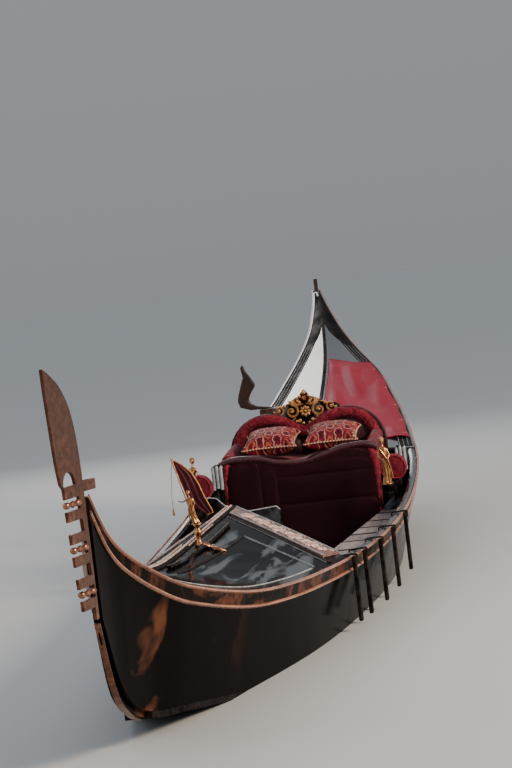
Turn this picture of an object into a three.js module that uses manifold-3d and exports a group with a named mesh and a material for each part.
// Gondola: a long black rowing boat with a comb-shaped bow iron, roof-shaped decks and a love seat.
// Millimetres. +X runs to the bow, +Y to port and +Z up. Z = 0 is the water's surface, amidships.
import * as THREE from 'three';
import { mergeVertices } from 'three/addons/utils/BufferGeometryUtils.js';
import Module from 'manifold-3d';

const wasm = await Module();
wasm.setup();

// Clearances between pieces that touch.
const SEAT_GAP = 0.4;
const DECK_GAP = 0.8;

// The hull's lines, from stern to bow. port and starboard are the gunwale's distances from Y = 0,
// portChine and starboardChine those of the bottom's edges, gunwale and bottom are heights.
const HULL_COLUMNS = ['x', 'port', 'starboard', 'portChine', 'starboardChine', 'gunwale', 'bottom'];
const HULL_ROWS = [
  [-5400, -61, 117, -61, 117, 1765, 1370],
  [-5150, 8, 98, -12, 76, 1645, 820],
  [-4700, 160, 110, 52, 18, 1420, 360],
  [-4300, 326, 172, 120, 50, 1240, 150],
  [-3900, 492, 244, 232, 130, 1090, 20],
  [-3400, 612, 320, 362, 215, 935, -65],
  [-2900, 712, 396, 490, 280, 810, -105],
  [-1600, 868, 525, 670, 385, 580, -140],
  [-200, 885, 557, 715, 430, 435, -150],
  [1200, 792, 521, 645, 395, 385, -150],
  [2400, 630, 446, 515, 330, 400, -120],
  [3400, 432, 326, 318, 228, 460, 0],
  [4200, 242, 212, 142, 122, 615, 100],
  [4500, 158, 150, 62, 62, 722, 140],
  [4800, 76, 84, 38, 38, 865, 252],
  [4935, 40, 44, 29, 29, 975, 368],
  [5075, 20, 20, 20, 20, 1140, 640],
];
const SPLITS_PER_ROW = 2;

// The planking thins towards both posts.
const PLANK = 25;
const PLANK_AT_POST = 12;
const THINNING = 400;
const BOTTOM_THICK = 30;
const STERN_X = -5400;
const BOW_X = 5075;
const BOTTOM_AFT_X = -4700;
const BOTTOM_FORE_X = 4500;
const POST_GAP = 0.8;
const POST_OUT = 26;
const POST_IN = 60;
const STERN_POST_RISE = 100;

// Half-round rails that run the hull's whole length.
const RAIL_GAP = 0.6;
const RAIL_HEIGHT = 18;
const RAIL_BULGE = 14;
const UPPER_RAIL_DROP = 3;
const LOWER_RAIL_DROP = 73;

// Decks: two panels that meet on a ridge.
const DECK_THICK = 18;
const RIDGE_Y = -30;
const FORE_APEX_X = 930;
const FORE_CORNER_X = 1950;
const FORE_END_X = 5005;
const AFT_START_X = -1900;
const AFT_END_X = -5330;
const FORE_RIDGE_COLUMNS = ['x', 'z'];
const FORE_RIDGE = [
  [900, 640], [2000, 632], [3000, 622], [3600, 640], [4200, 720], [4500, 800], [4800, 925], [4935, 1025], [5075, 1165],
];
const AFT_RIDGE_RISE_COLUMNS = ['x', 'rise'];
const AFT_RIDGE_RISE = [[-5400, 22], [-4700, 95], [-3900, 120], [-2900, 110], [-2000, 90]];
const AFT_RIDGE_Y_COLUMNS = ['x', 'y'];
const AFT_RIDGE_Y = [[-5400, -89], [-5150, -46], [-4700, 10], [-3900, 74], [-2900, 96], [-2000, 100]];

// Cockpit.
const SOLE_TOP = -20;
const SOLE_THICK = 20;
const SOLE_AFT_X = -1850;
const SOLE_FORE_X = 1650;
const SOLE_SEAMS = [-300, 470];
const SIDE_DECK_THICK = 22;
const SIDE_DECK_TOP = 360;
const SIDE_DECK_AFT_X = -915;
const SIDE_DECK_FORE_X = 1620;
const SHELF_AFT_X = -1300;
const SIDE_DECK_BOW = { x: 350, out: 3 };
const SIDE_DECK_WIDTHS = {
  port: { fore: 506, aft: 686, shelf: 686 },
  starboard: { fore: 330, aft: 330, shelf: 382 },
};

// Love seat. It faces the bow.
const SEAT_Y = 150;
const SEAT_HALF = 520;
const SEAT_FRONT_X = -930;
const SEAT_BACK_X = -1520;
const SEAT_BOX_TOP = 600;
const SEAT_BACK_THICK = 95;
const SEAT_TOP = 1005;

// Bow iron: one plate, turned a little to starboard, above a strip that follows the stem.
const FERRO_TURN = THREE.MathUtils.degToRad(10);
const FERRO_PIVOT_X = 5200;
const FERRO_Y = -10;
const FERRO_THICK = 14;
const FERRO_TEETH = 6;
const TOOTH_PITCH = 91.5;
const TOOTH_THICK = 42;
const TOP_TOOTH_Z = 1176;

// Crutch on the starboard gunwale.
const CRUTCH_X = -3100;
const CRUTCH_THICK = 64;
const TENON = { length: 46, width: 34, depth: 150, clearance: 1.2 };

const BLACK = { color: 0x0b0b0c, roughness: 0.12, metalness: 0.0 };
const DARK_WOOD = { color: 0x6a3a26, roughness: 0.3, metalness: 0.0 };
const IRON = { color: 0x4a2a20, roughness: 0.45, metalness: 0.9 };
const BRASS = { color: 0xb87838, roughness: 0.3, metalness: 1.0 };
const GILT = { color: 0xb98a4a, roughness: 0.45, metalness: 0.6 };
const RED = { color: 0x8a1f2b, roughness: 0.85, metalness: 0.0 };
const LEATHER = { color: 0x2c1214, roughness: 0.4, metalness: 0.0 };
const PLANKS = { color: 0x8d8783, roughness: 0.7, metalness: 0.0 };
const TARP = { color: 0xc23a4e, roughness: 0.6, metalness: 0.0 };
const WALNUT = { color: 0x4a2a1c, roughness: 0.35, metalness: 0.0 };

const part = new THREE.Group();

function addPiece(name, finish, geometry) {
  geometry.computeVertexNormals();
  const mesh = new THREE.Mesh(geometry, new THREE.MeshStandardMaterial(finish));
  mesh.name = name;
  part.add(mesh);
  return mesh;
}

// Interpolation

const mix = THREE.MathUtils.lerp;

// Heights and widths between a table's rows, by cubic Hermite pieces through every row.
function smoothValue(rows, column, x) {
  let i = 0;
  while (i < rows.length - 2 && x > rows[i + 1][0]) i += 1;
  const slope = (k) => {
    const low = rows[Math.max(k - 1, 0)];
    const high = rows[Math.min(k + 1, rows.length - 1)];
    return (high[column] - low[column]) / (high[0] - low[0]);
  };
  const [a, b] = [rows[i], rows[i + 1]];
  const h = b[0] - a[0];
  const t = (x - a[0]) / h;
  const [t2, t3] = [t * t, t * t * t];
  return (2 * t3 - 3 * t2 + 1) * a[column] + (t3 - 2 * t2 + t) * h * slope(i)
    + (3 * t2 - 2 * t3) * b[column] + (t3 - t2) * h * slope(i + 1);
}

const hullStations = [];
for (let row = 0; row < HULL_ROWS.length - 1; row += 1) {
  for (let split = 0; split < SPLITS_PER_ROW; split += 1) {
    const x = mix(HULL_ROWS[row][0], HULL_ROWS[row + 1][0], split / SPLITS_PER_ROW);
    hullStations.push(HULL_COLUMNS.map((_, column) => (column === 0 ? x : smoothValue(HULL_ROWS, column, x))));
  }
}
hullStations.push(HULL_ROWS[HULL_ROWS.length - 1]);

// The hull is straight between its stations, so that neighbours keep their gaps.
function hullAt(x) {
  let i = 0;
  while (i < hullStations.length - 2 && x > hullStations[i + 1][0]) i += 1;
  const [a, b] = [hullStations[i], hullStations[i + 1]];
  const t = (x - a[0]) / (b[0] - a[0]);
  return Object.fromEntries(HULL_COLUMNS.map((name, column) => [name, mix(a[column], b[column], t)]));
}

function stationsBetween(start, end) {
  const [low, high] = [Math.min(start, end), Math.max(start, end)];
  const margin = 15;
  const inner = hullStations.map((row) => row[0]).filter((x) => x > low + margin && x < high - margin);
  return [low, ...inner, high];
}

// Shares of full size near both posts.
const nearPost = (x) => THREE.MathUtils.clamp(Math.min(x - STERN_X, BOW_X - x) / THINNING, 0, 1);
const plankAt = (x) => mix(PLANK_AT_POST, PLANK, nearPost(x));

// side is +1 for port and -1 for starboard. The planking is flat between chine and gunwale.
function sideY(x, z, side) {
  const hull = hullAt(x);
  const [gunwale, chine] = side > 0 ? [hull.port, hull.portChine] : [hull.starboard, hull.starboardChine];
  return side * mix(chine, gunwale, (z - hull.bottom) / (hull.gunwale - hull.bottom));
}

// Solids

function facingOut(geometry) {
  const position = geometry.attributes.position;
  const index = geometry.index;
  const [a, b, c] = [new THREE.Vector3(), new THREE.Vector3(), new THREE.Vector3()];
  let volume = 0;
  for (let i = 0; i < index.count; i += 3) {
    a.fromBufferAttribute(position, index.getX(i));
    b.fromBufferAttribute(position, index.getX(i + 1));
    c.fromBufferAttribute(position, index.getX(i + 2));
    volume += a.dot(b.cross(c));
  }
  if (volume < 0) {
    for (let i = 0; i < index.count; i += 3) {
      const swap = index.getX(i + 1);
      index.setX(i + 1, index.getX(i + 2));
      index.setX(i + 2, swap);
    }
  }
  return geometry;
}

function weld(geometry) {
  geometry.deleteAttribute('normal');
  geometry.deleteAttribute('uv');
  return mergeVertices(geometry, 1e-3);
}

// A box whose corners and splits go where place(u, v, w) says; each of u, v and w runs from 0 to 1.
function warpBox([uSteps, vSteps, wSteps], place) {
  const box = weld(new THREE.BoxGeometry(1, 1, 1, uSteps, vSteps, wSteps));
  const position = box.attributes.position;
  const share = (value, steps) => Math.round((value + 0.5) * steps) / steps;
  for (let i = 0; i < position.count; i += 1) {
    const u = share(position.getX(i), uSteps);
    const v = share(position.getY(i), vSteps);
    const w = share(position.getZ(i), wSteps);
    position.setXYZ(i, ...place(u, v, w));
  }
  return facingOut(box);
}

// A warped box that has a split at each place in xs.
function strip(xs, vSteps, wSteps, place) {
  const steps = xs.length - 1;
  return warpBox([steps, vSteps, wSteps], (u, v, w) => place(xs[Math.round(u * steps)], v, w));
}

function block(xRange, yRange, zRange) {
  return warpBox([1, 1, 1], (u, v, w) => [mix(...xRange, u), mix(...yRange, v), mix(...zRange, w)]);
}

// An outline of [first, second] points, extruded, then put in place by place(first, second, depth).
function plate(points, thickness, place, holes = []) {
  const shape = new THREE.Shape(points.map(([a, b]) => new THREE.Vector2(a, b)));
  shape.holes = holes.map((hole) => new THREE.Path(hole.map(([a, b]) => new THREE.Vector2(a, b))));
  const geometry = weld(new THREE.ExtrudeGeometry(shape, { depth: thickness, bevelEnabled: false, steps: 1 }));
  const position = geometry.attributes.position;
  for (let i = 0; i < position.count; i += 1) {
    position.setXYZ(i, ...place(position.getX(i), position.getY(i), position.getZ(i)));
  }
  return facingOut(geometry);
}

// A turned shape from [radius, height] points that start and end on the axis.
function turned(profile, segments, [x, y, z], lean = [0, 0]) {
  const geometry = weld(new THREE.LatheGeometry(profile.map(([r, h]) => new THREE.Vector2(r, h)), segments));
  const position = geometry.attributes.position;
  for (let i = 0; i < position.count; i += 1) {
    const height = position.getY(i);
    position.setXYZ(i, x + position.getZ(i) + lean[0] * height, y + position.getX(i) + lean[1] * height, z + height);
  }
  return facingOut(geometry);
}

function toSolid(geometry) {
  const mesh = new wasm.Mesh({
    numProp: 3,
    vertProperties: new Float32Array(geometry.attributes.position.array),
    triVerts: new Uint32Array(geometry.index.array),
  });
  return new wasm.Manifold(mesh);
}

function toGeometry(solid) {
  const mesh = solid.getMesh();
  const geometry = new THREE.BufferGeometry();
  geometry.setAttribute('position', new THREE.BufferAttribute(new Float32Array(mesh.vertProperties), 3));
  geometry.setIndex(new THREE.BufferAttribute(new Uint32Array(mesh.triVerts), 1));
  return geometry;
}

const joined = (geometries) => toGeometry(geometries.map(toSolid).reduce((sum, solid) => sum.add(solid)));
const cut = (geometry, tool) => toGeometry(toSolid(geometry).subtract(toSolid(tool)));

const arc = (centre, radius, from, to, steps) => Array.from({ length: steps + 1 }, (_, i) => {
  const angle = THREE.MathUtils.degToRad(mix(from, to, i / steps));
  return [centre[0] + radius[0] * Math.cos(angle), centre[1] + radius[1] * Math.sin(angle)];
});

// Hull

// The planking has a split along each edge of a rail, so that both bend alike.
function hullSide(side) {
  const drops = [LOWER_RAIL_DROP, LOWER_RAIL_DROP - RAIL_HEIGHT, UPPER_RAIL_DROP, 0];
  return strip(stationsBetween(STERN_X, BOW_X), drops.length, 1, (x, v, w) => {
    const hull = hullAt(x);
    const row = Math.round(v * drops.length);
    const z = row === 0 ? hull.bottom : hull.gunwale - drops[row - 1];
    return [x, sideY(x, z, side) - side * plankAt(x) * w, z];
  });
}

function bottomPlanking() {
  return strip(stationsBetween(BOTTOM_AFT_X, BOTTOM_FORE_X), 1, 1, (x, v, w) => {
    const hull = hullAt(x);
    return [x, mix(-hull.starboardChine, hull.portChine, v), hull.bottom - SEAT_GAP - BOTTOM_THICK * w];
  });
}

function rail(side, drop) {
  return strip(stationsBetween(STERN_X, BOW_X), 3, 1, (x, v, w) => {
    const { gunwale } = hullAt(x);
    const z = gunwale - drop + RAIL_HEIGHT * v;
    const round = 0.25 + 0.75 * Math.sqrt(Math.max(0, 1 - (2 * v - 1) ** 2));
    const bulge = RAIL_BULGE * mix(0.6, 1, nearPost(x)) * round * w;
    return [x, sideY(x, Math.min(z, gunwale), side) + side * (RAIL_GAP + bulge), z];
  });
}

const middleY = (x) => (hullAt(x).portChine - hullAt(x).starboardChine) / 2;
// The post fits between the planks a little before and behind each place too.
const postHalf = (x) => Math.min(...[-60, 0, 60].map((shift) => {
  const { portChine, starboardChine } = hullAt(x + shift);
  return (portChine + starboardChine) / 2 - plankAt(x + shift) - POST_GAP;
}));

// A post follows the hull's profile between its planks, from a start on the bottom to the gunwale's end
// and a rise above it.
function post(start, end, inner, outer, halfAt, rise) {
  const line = stationsBetween(start, end).map((x) => [x, hullAt(x).bottom]);
  if (end < start) line.reverse();
  const outward = Math.sign(end - start);
  if (rise !== undefined) line.push([end, hullAt(end).gunwale + rise]);
  const steps = line.length - 1;
  return warpBox([steps, 1, 1], (u, v, w) => {
    const i = Math.round(u * steps);
    const before = line[Math.max(i - 1, 0)];
    const after = line[Math.min(i + 1, steps)];
    const [dx, dz] = [after[0] - before[0], after[1] - before[1]];
    const length = Math.hypot(dx, dz);
    const [normalX, normalZ] = i === 0 ? [0, -1] : [(outward * Math.abs(dz)) / length, -Math.abs(dx) / length];
    const distance = mix(inner, outer, v);
    const x = line[i][0] + normalX * distance;
    return [x, middleY(x) + mix(-1, 1, w) * halfAt(x), line[i][1] + normalZ * distance];
  });
}

// Longitudinal keelson with cross floors that carry the sole.
function floorTimbers() {
  const underSole = SOLE_TOP - SOLE_THICK - SEAT_GAP;
  const keelsonHalf = 45;
  const floorHalf = 25;
  const floorSpacing = 600;
  const keelson = strip(stationsBetween(SOLE_AFT_X + 60, SOLE_FORE_X - 60), 1, 1, (x, v, w) => [
    x, SEAT_Y - 50 + mix(-keelsonHalf, keelsonHalf, v), mix(hullAt(x).bottom + SEAT_GAP, underSole - 30, w)]);
  const floors = [];
  for (let x = SOLE_AFT_X + 100; x < SOLE_FORE_X; x += floorSpacing) {
    const low = Math.max(hullAt(x - floorHalf).bottom, hullAt(x + floorHalf).bottom) + 2;
    const clear = PLANK + 12;
    const port = Math.min(sideY(x - floorHalf, low, 1), sideY(x + floorHalf, low, 1)) - clear;
    const starboard = Math.max(sideY(x - floorHalf, low, -1), sideY(x + floorHalf, low, -1)) + clear;
    floors.push(block([x - floorHalf, x + floorHalf], [starboard, port], [low, underSole]));
  }
  return joined([keelson, ...floors]);
}

// The sole has a seam under the inner edge of each side deck.
function sole() {
  const z = SOLE_TOP - SOLE_THICK;
  const clear = PLANK + 8;
  return strip(stationsBetween(SOLE_AFT_X, SOLE_FORE_X), 3, 1, (x, v, w) => {
    const rows = [sideY(x, z, -1) + clear, ...SOLE_SEAMS, sideY(x, z, 1) - clear];
    return [x, rows[Math.round(v * 3)], z + SOLE_THICK * w];
  });
}

// Decks

// The deck surface: straight from its ridge down to the gunwale.
function deckHeight(ridge, x, y) {
  const hull = hullAt(x);
  const ridgeY = ridge.y(x);
  const edgeY = y > ridgeY ? hull.port : -hull.starboard;
  const edgeZ = hull.gunwale + SEAT_GAP + DECK_THICK;
  return mix(ridge.z(x), edgeZ, (y - ridgeY) / (edgeY - ridgeY));
}

const foreRidge = { y: () => RIDGE_Y, z: (x) => smoothValue(FORE_RIDGE, FORE_RIDGE_COLUMNS.indexOf('z'), x) };
const aftRidge = {
  y: (x) => smoothValue(AFT_RIDGE_Y, AFT_RIDGE_Y_COLUMNS.indexOf('y'), x),
  z: (x) => hullAt(x).gunwale + smoothValue(AFT_RIDGE_RISE, AFT_RIDGE_RISE_COLUMNS.indexOf('rise'), x),
};

// The foredeck ends in a chevron whose point is aft, on the ridge.
const CHEVRON_X = [FORE_APEX_X + 30, 1200, 1450, 1700];

function foreEdgeY(x, side) {
  const hull = hullAt(x);
  const gunwale = side > 0 ? hull.port : -hull.starboard;
  if (x >= FORE_CORNER_X) return gunwale;
  const corner = hullAt(FORE_CORNER_X);
  const cornerY = side > 0 ? corner.port : -corner.starboard;
  return mix(RIDGE_Y, cornerY, (x - FORE_APEX_X) / (FORE_CORNER_X - FORE_APEX_X));
}

// The x of the chevron's edge at a distance across the boat.
function chevronX(y) {
  const corner = hullAt(FORE_CORNER_X);
  const cornerY = y > RIDGE_Y ? corner.port : -corner.starboard;
  return mix(FORE_APEX_X, FORE_CORNER_X, (y - RIDGE_Y) / (cornerY - RIDGE_Y));
}

const CARVED_BOARD = { from: 8, to: 325, height: 12 };

function foredeckPanel(side) {
  const xs = [...CHEVRON_X, ...stationsBetween(FORE_CORNER_X, FORE_END_X)];
  return strip(xs, 4, 1, (x, v, w) => {
    const y = mix(RIDGE_Y + side * SEAT_GAP, foreEdgeY(x, side), v);
    return [x, y, deckHeight(foreRidge, x, y) - DECK_THICK * w];
  });
}

function aftDeckPanel(side) {
  return strip(stationsBetween(AFT_START_X, AFT_END_X), 4, 1, (x, v, w) => {
    const hull = hullAt(x);
    const y = mix(aftRidge.y(x) + side * SEAT_GAP, side > 0 ? hull.port : -hull.starboard, v);
    return [x, y, deckHeight(aftRidge, x, y) - DECK_THICK * w];
  });
}

// A cap that straddles a ridge.
function ridgeCap(ridge, xs, halfWidth, height) {
  return strip(xs, 2, 1, (x, v, w) => {
    const y = ridge.y(x) + mix(-halfWidth, halfWidth, v);
    const crown = v === 0.5 ? 1 : 0.55;
    return [x, y, deckHeight(ridge, x, y) + DECK_GAP + height * crown * w];
  });
}

// A flat strip laid on a deck along [x, y] points, with its width to both sides.
function deckStrip(ridge, points, width, height, spacing = 240) {
  const path = [];
  points.forEach(([x, y], i) => {
    if (i === 0) {
      path.push([x, y]);
      return;
    }
    const [fromX, fromY] = points[i - 1];
    const parts = Math.max(1, Math.ceil(Math.hypot(x - fromX, y - fromY) / spacing));
    for (let k = 1; k <= parts; k += 1) path.push([mix(fromX, x, k / parts), mix(fromY, y, k / parts)]);
  });
  const normals = path.map((_, i) => {
    const before = path[Math.max(i - 1, 0)];
    const after = path[Math.min(i + 1, path.length - 1)];
    const length = Math.hypot(after[0] - before[0], after[1] - before[1]);
    return [-(after[1] - before[1]) / length, (after[0] - before[0]) / length];
  });
  const steps = path.length - 1;
  return warpBox([steps, 1, 1], (u, v, w) => {
    const i = Math.round(u * steps);
    const x = path[i][0] + normals[i][0] * mix(-width / 2, width / 2, v);
    const y = path[i][1] + normals[i][1] * mix(-width / 2, width / 2, v);
    return [x, y, deckHeight(ridge, x, y) + DECK_GAP + 1.6 + height * w];
  });
}

// The carved board that follows the chevron. Its width is measured along the boat.
function chevronBoard(side) {
  const { from, to, height } = CARVED_BOARD;
  const inner = RIDGE_Y + side * 26;
  const edgeY = (x) => (side > 0 ? hullAt(x).port : -hullAt(x).starboard) - side * 40;
  return warpBox([6, 2, 1], (u, v, w) => {
    const reach = mix(from, to, v);
    const y = mix(inner, edgeY(FORE_CORNER_X + reach), u * (1 - 0.02 * v));
    const x = chevronX(y) + reach;
    return [x, y, deckHeight(foreRidge, x, y) + DECK_GAP + 0.2 + height * w];
  });
}

// A beam under the chevron, between the planks.
function foredeckBeam() {
  const depth = 110;
  const thick = 40;
  const clear = PLANK + 42;
  const portY = hullAt(FORE_CORNER_X).port - clear;
  const starboardY = -hullAt(FORE_CORNER_X).starboard + clear;
  const ys = [starboardY, mix(starboardY, RIDGE_Y, 0.5), RIDGE_Y, mix(RIDGE_Y, portY, 0.5), portY];
  return warpBox([ys.length - 1, 1, 1], (u, v, w) => {
    const y = ys[Math.round(u * (ys.length - 1))];
    const x = chevronX(y) + mix(45, 45 + thick, v);
    return [x, y, deckHeight(foreRidge, x, y) - DECK_THICK - DECK_GAP - depth * w];
  });
}

// A side deck with the board that carries its inner edge. Beside the seat it narrows to a shelf.
function sideDeck(side, { fore, aft, shelf }) {
  const thick = SIDE_DECK_THICK;
  const clear = PLANK + 6;
  const under = SIDE_DECK_TOP - thick;
  const outer = stationsBetween(SHELF_AFT_X, SIDE_DECK_FORE_X).map((x) => [x, sideY(x, under, side) - side * clear]);
  const innerY = (x) => mix(aft, fore, (x - SIDE_DECK_AFT_X) / (SIDE_DECK_FORE_X - SIDE_DECK_AFT_X));
  const bowed = [SIDE_DECK_BOW.x, side * (innerY(SIDE_DECK_BOW.x) + SIDE_DECK_BOW.out)];
  const outline = [...outer, [SIDE_DECK_FORE_X, side * fore], bowed, [SIDE_DECK_AFT_X, side * aft]];
  if (shelf !== aft) outline.push([SIDE_DECK_AFT_X, side * shelf]);
  outline.push([SHELF_AFT_X, side * shelf]);
  const top = plate(outline, thick, (x, y, depth) => [x, y, under + depth]);
  const [from, to] = [SIDE_DECK_AFT_X + 6, SIDE_DECK_FORE_X - 60];
  const board = warpBox([1, 1, 1], (u, v, w) => {
    const x = mix(from, to, u);
    return [x, side * (innerY(x) + mix(4, 26, v)), mix(SOLE_TOP + SEAT_GAP, under + 1, w)];
  });
  return joined([top, board]);
}

addPiece('bottom_planking', BLACK, bottomPlanking());
addPiece('port_side', BLACK, hullSide(1));
addPiece('starboard_side', BLACK, hullSide(-1));
addPiece('stem_post', BLACK, post(BOTTOM_FORE_X + SEAT_GAP, BOW_X, -POST_IN, POST_OUT, postHalf, 0));
addPiece('stern_post', BLACK, post(BOTTOM_AFT_X - SEAT_GAP, STERN_X, -POST_IN, POST_OUT, postHalf, STERN_POST_RISE));
addPiece('floor_timbers', DARK_WOOD, floorTimbers());
addPiece('cockpit_sole', PLANKS, sole());
for (const [name, side] of [['port', 1], ['starboard', -1]]) {
  addPiece(`${name}_upper_rail`, DARK_WOOD, rail(side, UPPER_RAIL_DROP));
  addPiece(`${name}_lower_rail`, DARK_WOOD, rail(side, LOWER_RAIL_DROP));
  addPiece(`foredeck_${name}`, BLACK, foredeckPanel(side));
  addPiece(`carved_board_${name}`, GILT, chevronBoard(side));
}
const RIDGE_CAP = { fore: 4500, half: 20, height: 16 };
const ridgeCapStations = [...CHEVRON_X, ...stationsBetween(FORE_CORNER_X, RIDGE_CAP.fore)];
addPiece('foredeck_ridge_cap', GILT, ridgeCap(foreRidge, ridgeCapStations, RIDGE_CAP.half, RIDGE_CAP.height));
addPiece('foredeck_beam', BLACK, foredeckBeam());
addPiece('aft_deck_port', BLACK, aftDeckPanel(1));

// Black rope-carved moulding beside the foredeck's ridge.
const ROPE_PATH = [[1700, 54], [2400, 54], [2900, 38], [3450, 16]];
const ROPE = { width: 24, height: 22 };
addPiece('rope_moulding_port', BLACK, deckStrip(foreRidge, ROPE_PATH, ROPE.width, ROPE.height));
addPiece('port_side_deck', PLANKS, sideDeck(1, SIDE_DECK_WIDTHS.port));
addPiece('starboard_side_deck', PLANKS, sideDeck(-1, SIDE_DECK_WIDTHS.starboard));

// Cockpit edge caps, bulkheads and the board at the foredeck's point

const CAP_OUT = 0;
const CAP_IN = 52;
const CAP_THICK = 16;
const CAP_FORE_X = FORE_CORNER_X - 105;

function gunwaleCap(side) {
  const xs = stationsBetween(AFT_START_X + 4, CAP_FORE_X);
  return strip(xs, 1, 1, (x, v, w) => {
    const hull = hullAt(x);
    const y = side * (side > 0 ? hull.port : hull.starboard) + side * mix(-CAP_IN, CAP_OUT, v);
    return [x, y, hull.gunwale + SEAT_GAP + CAP_THICK * w];
  });
}

// A cross bulkhead under the aft deck, cut to the hull's section.
function aftBulkhead() {
  const x = AFT_START_X - 40;
  const thick = 22;
  const low = hullAt(x).bottom + 2;
  const side = (z, sign) => sideY(x, z, sign) - sign * (PLANK + 6);
  const top = (y) => deckHeight(aftRidge, x, y) - DECK_THICK - DECK_GAP;
  const high = hullAt(x).gunwale - 4;
  const outline = [
    [side(low, -1), low], [side(low, 1), low], [side(high, 1), high],
    [aftRidge.y(x), top(aftRidge.y(x))], [side(high, -1), high],
  ];
  return plate(outline, thick, (y, z, depth) => [x - depth, y, z]);
}

const FRONT_BOARD_X = 885;
function frontBoard() {
  const outline = [
    [-200, SOLE_TOP + SEAT_GAP], [240, SOLE_TOP + SEAT_GAP], [240, 585], [215, 612], [60, 600],
    [-20, 610], [-90, 650], [-130, 692], [-170, 700], [-200, 694],
  ];
  return plate(outline, 25, (y, z, depth) => [FRONT_BOARD_X + depth, y, z]);
}

for (const [name, side] of [['port', 1], ['starboard', -1]]) addPiece(`${name}_gunwale_cap`, BLACK, gunwaleCap(side));
addPiece('aft_bulkhead', BLACK, aftBulkhead());
addPiece('front_board', BLACK, frontBoard());

// Bow iron. Its outline is drawn in its own plane: forward of its pivot, and height.

const onFerro = (forward, height, depth) => {
  const across = depth - FERRO_THICK / 2;
  return [
    FERRO_PIVOT_X + forward * Math.cos(FERRO_TURN) + across * Math.sin(FERRO_TURN),
    FERRO_Y - forward * Math.sin(FERRO_TURN) + across * Math.cos(FERRO_TURN),
    height,
  ];
};
const SPINE_AFT = -98.8;
const TOOTH_ROOTS = [-38, -48, -60, -72, -84, -70];
const TOOTH_TIPS = [106, 101, 91, 82, 73, 55];
const FERRO_LOW = 645;

function ferro() {
  const toothAt = (i) => TOP_TOOTH_Z - i * TOOTH_PITCH;
  const bladeBack = new THREE.SplineCurve([
    [-98, 1240], [-87, 1337], [-60, 1421], [-13, 1506], [64, 1593], [147, 1662], [181, 1685],
  ].map(([a, b]) => new THREE.Vector2(a, b))).getPoints(20).map(({ x, y }) => [x, y]);
  const comb = [];
  for (let i = 0; i < FERRO_TEETH; i += 1) {
    const [top, bottom] = [toothAt(i) + TOOTH_THICK / 2, toothAt(i) - TOOTH_THICK / 2];
    comb.push([TOOTH_TIPS[i], top], [TOOTH_TIPS[i] - 4, bottom], [TOOTH_ROOTS[i], bottom]);
    if (i < FERRO_TEETH - 1) comb.push([TOOTH_ROOTS[i] - 4, toothAt(i + 1) + TOOTH_THICK / 2]);
  }
  const outline = [
    [SPINE_AFT, FERRO_LOW], [SPINE_AFT, 1166], [-229, 1164], [-232, 1207], [SPINE_AFT, 1214],
    ...bladeBack, [183, 1682], [181, 1612], [169, 1484], [160, 1384], [149, 1291], [131, 1217],
    ...comb, [TOOTH_ROOTS[5], FERRO_LOW],
  ];
  const hole = arc([46, 1206], [64, 56], 0, 180, 14);
  return plate(outline, FERRO_THICK, onFerro, [hole]);
}

// Ornamental filler between two teeth, with a lobed front.
function frieze(gap) {
  const high = TOP_TOOTH_Z - gap * TOOTH_PITCH - TOOTH_THICK / 2 - SEAT_GAP;
  const low = TOP_TOOTH_Z - (gap + 1) * TOOTH_PITCH + TOOTH_THICK / 2 + SEAT_GAP;
  const start = TOOTH_ROOTS[gap] + SEAT_GAP;
  const reach = TOOTH_TIPS[gap + 1] - 2;
  const middle = (high + low) / 2;
  const outline = [
    [start, low], [start + 30, low], [start + 44, middle - 10], [reach - 66, middle - 10], [reach - 52, low],
    [reach - 16, low], [reach, middle], [reach - 16, high], [reach - 52, high], [reach - 66, middle + 10],
    [start + 44, middle + 10], [start + 30, high], [start, high],
  ];
  const thin = 3;
  return plate(outline, FERRO_THICK - 2 * thin, (s, z, depth) => onFerro(s, z, depth + thin));
}

// Iron straps that run down the two posts.
const STRAP_THICK = 10;
const STRAP_HALF = 13;
function strap(start, end, rise) {
  const inner = POST_OUT + SEAT_GAP;
  return post(start, end, inner, inner + STRAP_THICK, () => STRAP_HALF, rise);
}

addPiece('ferro', IRON, ferro());
[0, 2, 4].forEach((gap, i) => addPiece(`ferro_frieze_${i + 1}`, GILT, frieze(gap)));
addPiece('stem_strap', IRON, strap(BOTTOM_FORE_X + 2, BOW_X));
addPiece('stern_strap', IRON, strap(BOTTOM_AFT_X - 2, STERN_X, STERN_POST_RISE));

// Love seat

const seatY = (offset) => SEAT_Y + offset;

// The seat's front edge crowns over each place and dips between them.
function seatCrown(y) {
  const crown = 42;
  const share = Math.abs(y - SEAT_Y) / SEAT_HALF;
  return crown * Math.sin(Math.PI * Math.min(1, share * 1.05)) ** 0.8;
}

function seatFrontPanel() {
  const half = SEAT_HALF - 5;
  const columns = 12;
  const top = Array.from({ length: columns + 1 }, (_, i) => {
    const y = mix(half, -half, i / columns);
    return [seatY(y), 702 + 1.7 * seatCrown(seatY(y))];
  });
  const outline = [[seatY(-half), SOLE_TOP + SEAT_GAP], [seatY(half), SOLE_TOP + SEAT_GAP], ...top];
  return plate(outline, 32, (y, z, depth) => [SEAT_FRONT_X - depth, y, z]);
}

function seatPad() {
  const [front, back] = [SEAT_FRONT_X - 34, SEAT_BACK_X + 4];
  const half = SEAT_HALF - 88;
  return warpBox([4, 10, 1], (u, v, w) => {
    const y = seatY(mix(-half, half, v));
    const round = Math.sin(Math.PI * mix(0.08, 0.92, u)) ** 0.3;
    return [mix(front, back, u), y, mix(SEAT_BOX_TOP + SEAT_GAP, 640 + 70 * round + seatCrown(y) * round, w)];
  });
}

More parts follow.
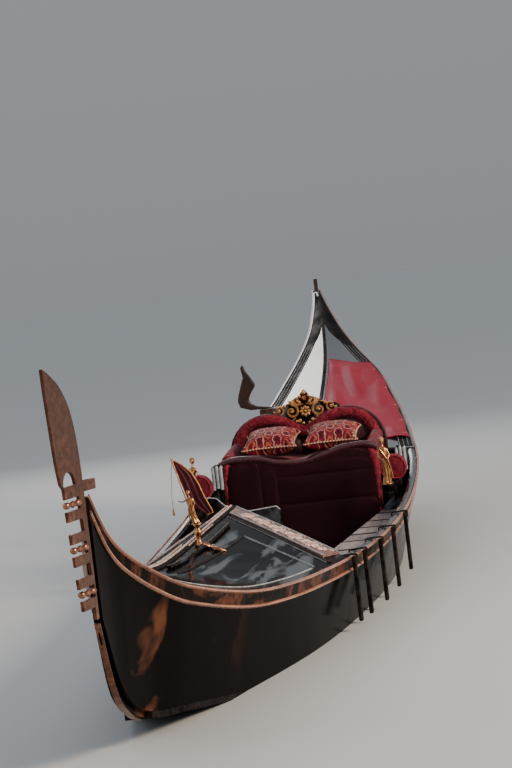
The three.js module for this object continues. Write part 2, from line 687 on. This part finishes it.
const LOBE_Y = 272;
function seatBack() {
  const low = SOLE_TOP + SEAT_GAP;
  const lobe = arc([LOBE_Y, 745], [SEAT_HALF - LOBE_Y + 15, SEAT_TOP - 745], 0, 128, 10);
  const right = lobe.map(([y, z]) => [seatY(y), z]);
  const left = lobe.map(([y, z]) => [seatY(-y), z]).reverse();
  const foot = SEAT_HALF - 60;
  const outline = [
    [seatY(-foot), low], [seatY(foot), low], [seatY(foot), 480], [seatY(SEAT_HALF + 15), 560],
    ...right, [seatY(0), 905], ...left, [seatY(-SEAT_HALF - 15), 560], [seatY(-foot), 480],
  ];
  return plate(outline, SEAT_BACK_THICK, (y, z, depth) => [SEAT_BACK_X - depth, y, z]);
}

function seatArm(side) {
  const inner = SEAT_HALF - 82;
  const width = 78;
  const [front, back] = [SEAT_FRONT_X - 34, SEAT_BACK_X + 2];
  return warpBox([3, 4, 1], (u, v, w) => {
    const y = seatY(side * mix(inner, inner + width, v));
    const round = Math.sqrt(Math.max(0, 1 - (2 * v - 1) ** 2));
    const top = mix(770, 815, u) + 26 * round;
    return [mix(front, back, u), y, mix(SEAT_BOX_TOP + SEAT_GAP, top, w)];
  });
}

// A plump square cushion that lies on the pad, its rear edge raised.
const CUSHION_X = -1240;
const CUSHION_Z = 854;
const CUSHION_LEAN = THREE.MathUtils.degToRad(70);
function leaningCushion(y, side, thick, lean) {
  const steps = 6;
  const [c, s] = [Math.cos(lean), Math.sin(lean)];
  return warpBox([steps, steps, 2], (u, v, w) => {
    const [a, b] = [2 * u - 1, 2 * v - 1];
    const plump = Math.sqrt(Math.max(0, (1 - a ** 4) * (1 - b ** 4)));
    const pinch = 1 - 0.06 * (1 - a * a) * (b * b) - 0.06 * (1 - b * b) * (a * a);
    const across = (a * side * pinch) / 2;
    const up = (b * side * pinch) / 2;
    const depth = (2 * w - 1) * (8 + (thick / 2 - 8) * plump);
    return [CUSHION_X - up * s + depth * c, seatY(y) + across, CUSHION_Z + up * c + depth * s];
  });
}

// Carved crest behind the seat back's notch.
function seatCrest() {
  const half = [
    [0, 876], [70, 888], [120, 925], [190, 945], [236, 985], [238, 1015], [205, 1035], [150, 1030], [118, 1058],
    [70, 1085], [36, 1098], [22, 1120], [0, 1144],
  ];
  const outline = [
    ...half.map(([y, z]) => [seatY(y), z]),
    ...half.slice(1, -1).reverse().map(([y, z]) => [seatY(-y), z]),
  ];
  return plate(outline, 34, (y, z, depth) => [SEAT_BACK_X - SEAT_BACK_THICK - SEAT_GAP - depth, y, z]);
}

addPiece('seat_box', BLACK, block([SEAT_BACK_X + 2, SEAT_FRONT_X - 34], [seatY(-SEAT_HALF + 2), seatY(SEAT_HALF - 2)],
  [SOLE_TOP + SEAT_GAP, SEAT_BOX_TOP]));
addPiece('seat_front_panel', LEATHER, seatFrontPanel());
addPiece('seat_pad', RED, seatPad());
addPiece('seat_back', RED, seatBack());
addPiece('seat_arm_port', RED, seatArm(1));
addPiece('seat_arm_starboard', RED, seatArm(-1));
addPiece('brocade_cushion_port', RED, leaningCushion(208, 392, 150, CUSHION_LEAN));
addPiece('brocade_cushion_starboard', RED, leaningCushion(-208, 392, 150, CUSHION_LEAN));
addPiece('seat_crest', GILT, seatCrest());

// Side pieces beside the love seat: a round red bolster on a black stand, and a fluted lacquered board.

const SIDE_TOP = SIDE_DECK_TOP + SEAT_GAP;
const BOLSTER = { radius: 83, thick: 110, flat: 68 };
const BOLSTER_PLACES = [
  { name: 'port', x: -955, y: 755, z: 602 },
  { name: 'starboard', x: -445, y: -455, z: 640 },
];
const STAND = { half: 44, inset: 8 };

// A disc with a flat on its lower side, where its stand carries it.
function bolsterOnStand({ x, y, z }) {
  const { radius, thick, flat } = BOLSTER;
  const turn = THREE.MathUtils.radToDeg(Math.asin(flat / radius));
  const outline = arc([y, z], [radius, radius], -turn, 180 + turn, 20);
  const disc = plate(outline, thick, (across, height, depth) => [x - depth, across, height]);
  const stand = block([x - thick + STAND.inset, x - STAND.inset], [y - STAND.half, y + STAND.half],
    [SIDE_TOP, z - flat + 1]);
  return joined([disc, stand]);
}

for (const place of BOLSTER_PLACES) addPiece(`side_bolster_${place.name}`, RED, bolsterOnStand(place));

// A board on [y, z] points: a foot on the deck, a shoulder above the gunwale cap and a round top.
function flutedBoard(x, foot, shoulderZ, [yLow, yHigh], top) {
  const thick = 40;
  const middle = (yLow + yHigh) / 2;
  const half = (yHigh - yLow) / 2;
  const neck = 36;
  const outline = [
    [foot[0], SIDE_TOP], [foot[1], SIDE_TOP], [foot[1], shoulderZ], [yHigh, shoulderZ + neck],
    ...arc([middle, top - half], [half, half], 0, 180, 10), [yLow, shoulderZ + neck], [foot[0], shoulderZ],
  ];
  return plate(outline, thick, (y, z, depth) => [x - depth, y, z]);
}

addPiece('fluted_board_port', BLACK, flutedBoard(-1230, [715, 785], 566, [748, 836], 727));
addPiece('fluted_board_starboard', BLACK, flutedBoard(-868, [-424, -352], 520, [-426, -350], 753));

// Brass figures on turned pedestals

const PEDESTAL = [[0, 0], [46, 0], [46, 18], [34, 30], [38, 60], [30, 78], [40, 110], [44, 140], [40, 158], [0, 158]];
const FIGURE = [
  [0, 0], [42, 0], [44, 14], [26, 34], [20, 60], [30, 96], [32, 140], [24, 176], [30, 206], [28, 236],
  [14, 252], [20, 276], [18, 294], [0, 306],
];
const FIGURE_SIDES = 12;
const FIGURE_X = -750;
const FIGURE_FOOT = SIDE_TOP + 158;
const capTop = hullAt(FIGURE_X - 24).gunwale + SEAT_GAP + CAP_THICK + SEAT_GAP;
// The port pedestal stands on the side deck, the smaller starboard one on the gunwale cap.
const FIGURE_PLACES = [
  { name: 'port', y: 724, low: SIDE_TOP, width: 1 },
  { name: 'starboard', y: -530, low: capTop, width: 0.54 },
];
for (const { name, y, low, width } of FIGURE_PLACES) {
  const height = (FIGURE_FOOT - low) / 158;
  const profile = PEDESTAL.map(([r, h]) => [r * width, h * height]);
  addPiece(`pedestal_${name}`, BLACK, turned(profile, FIGURE_SIDES, [FIGURE_X, y, low]));
  addPiece(`brass_figure_${name}`, BRASS, turned(FIGURE, FIGURE_SIDES, [FIGURE_X, y, FIGURE_FOOT + SEAT_GAP]));
}

// The foredeck's brass figure stands beside the ridge and carries a staff with a pennant.

const STATUE_X = 2540;
const STATUE_Y = 20;
const STATUE_BASE_HEIGHT = 110;
const statueFoot = deckHeight(foreRidge, STATUE_X, STATUE_Y - 16) + DECK_GAP + 0.2;
const statueTop = statueFoot + STATUE_BASE_HEIGHT + SEAT_GAP;
const STATUE_BASE = [
  [0, 0], [16, 0], [16, 8], [11, 22], [15, 42], [10, 56], [22, 76], [20, 92], [10, 100], [15, 110], [0, 110],
];
const STATUE = [[0, 0], [13, 0], [11, 28], [22, 88], [27, 122], [13, 140], [16, 156], [15, 168], [0, 178]];
const STATUE_LEAN = [0, -0.19];
addPiece('foredeck_figure_base', BRASS, turned(STATUE_BASE, FIGURE_SIDES, [STATUE_X, STATUE_Y, statueFoot]));
const STAFF_X = STATUE_X - 19;
const STAFF_HALF = 4;
const STAFF_LOW = [8, statueTop];
const STAFF_HIGH = [-76, 1067];
const staff = plate([
  [STAFF_LOW[0] - STAFF_HALF, STAFF_LOW[1]], [STAFF_LOW[0] + STAFF_HALF, STAFF_LOW[1]],
  [STAFF_HIGH[0] + STAFF_HALF, STAFF_HIGH[1]], [STAFF_HIGH[0] - STAFF_HALF, STAFF_HIGH[1]],
], 2 * STAFF_HALF, (y, z, depth) => [STAFF_X - depth, y, z]);
const figure = turned(STATUE, FIGURE_SIDES, [STATUE_X, STATUE_Y, statueTop], STATUE_LEAN);
addPiece('foredeck_figure', BRASS, joined([figure, staff]));
const PENNANT = [
  [-69, 1058], [-46, 968], [-21, 868], [-10, 826], [38, 786], [77, 761], [104, 774], [89, 817], [68, 860],
  [50, 924], [16, 990], [-30, 1036],
];
const PENNANT_THICK = 6;
addPiece('pennant', RED, plate(PENNANT, PENNANT_THICK,
  (y, z, depth) => [STAFF_X - 2 * STAFF_HALF - SEAT_GAP - depth, y, z]));

// Rowing crutch: a walnut bracket whose tenon drops into a block on the starboard deck.

const CRUTCH_BLOCK_Z = 958;
const CRUTCH_BLOCK = { x: [CRUTCH_X - 85, CRUTCH_X + 85], y: [-356, -226] };
const TENON_Y = [-330, -296];

function tenonBox(grow, low, high) {
  return block([CRUTCH_X - TENON.length / 2 - grow, CRUTCH_X + TENON.length / 2 + grow],
    [TENON_Y[0] - grow, TENON_Y[1] + grow], [low, high]);
}

function crutchBlock() {
  const body = warpBox([2, 2, 1], (u, v, w) => {
    const [x, y] = [mix(...CRUTCH_BLOCK.x, u), mix(...CRUTCH_BLOCK.y, v)];
    return [x, y, mix(deckHeight(aftRidge, x, y) + DECK_GAP, CRUTCH_BLOCK_Z, w)];
  });
  return cut(body, tenonBox(TENON.clearance, 700, 1100));
}

function crutch() {
  const foot = CRUTCH_BLOCK_Z + SEAT_GAP;
  const outer = [
    [-430, foot], [-505, 985], [-520, 1030], [-512, 1075], [-486, 1150], [-464, 1205], [-476, 1280], [-458, 1304],
  ];
  const inner = [
    [-451, 1292], [-440, 1255], [-414, 1214], [-380, 1150], [-384, 1128], [-412, 1092], [-438, 1040],
    [-430, 1008], [-386, 986], [-300, 972], [-252, foot],
  ];
  const body = plate([...outer, ...inner], CRUTCH_THICK, (y, z, depth) => {
    const taper = mix(1, 0.45, THREE.MathUtils.clamp((z - 980) / 320, 0, 1));
    return [CRUTCH_X + (depth - CRUTCH_THICK / 2) * taper, y, z];
  });
  return joined([body, tenonBox(0, CRUTCH_BLOCK_Z - TENON.depth + 60, CRUTCH_BLOCK_Z + 6)]);
}

addPiece('aft_deck_starboard', BLACK, cut(aftDeckPanel(-1), tenonBox(5, 700, 1100)));
addPiece('crutch_block', WALNUT, crutchBlock());
addPiece('rowing_crutch', WALNUT, crutch());

// Red cover that lies on the port half of the aft deck.

const COVER_AFT_X = -4000;
const COVER_FORE_X = -1990;
const COVER_THICK = 8;
function deckCover() {
  return strip(stationsBetween(COVER_AFT_X, COVER_FORE_X), 8, 1, (x, v, w) => {
    const y = mix(aftRidge.y(x) + 26, hullAt(x).port - 16, v);
    return [x, y, deckHeight(aftRidge, x, y) + 1.4 + COVER_THICK * w];
  });
}

addPiece('deck_cover', TARP, deckCover());

// Board fenders that hang outside the port rail.

const FENDER = { width: 48, thick: 22, height: 350 };
const FENDER_X = [1900, 1640, 1200, 750, 200];
function fender(x) {
  const half = FENDER.width / 2;
  const face = (at) => hullAt(at).port + RAIL_GAP + RAIL_BULGE + SEAT_GAP;
  const y = Math.max(face(x - half), face(x + half));
  const top = hullAt(x).gunwale - UPPER_RAIL_DROP + RAIL_HEIGHT;
  return block([x - half, x + half], [y, y + FENDER.thick], [top - FENDER.height, top]);
}
FENDER_X.forEach((x, i) => addPiece(`fender_${i + 1}`, BLACK, fender(x)));

export default part;
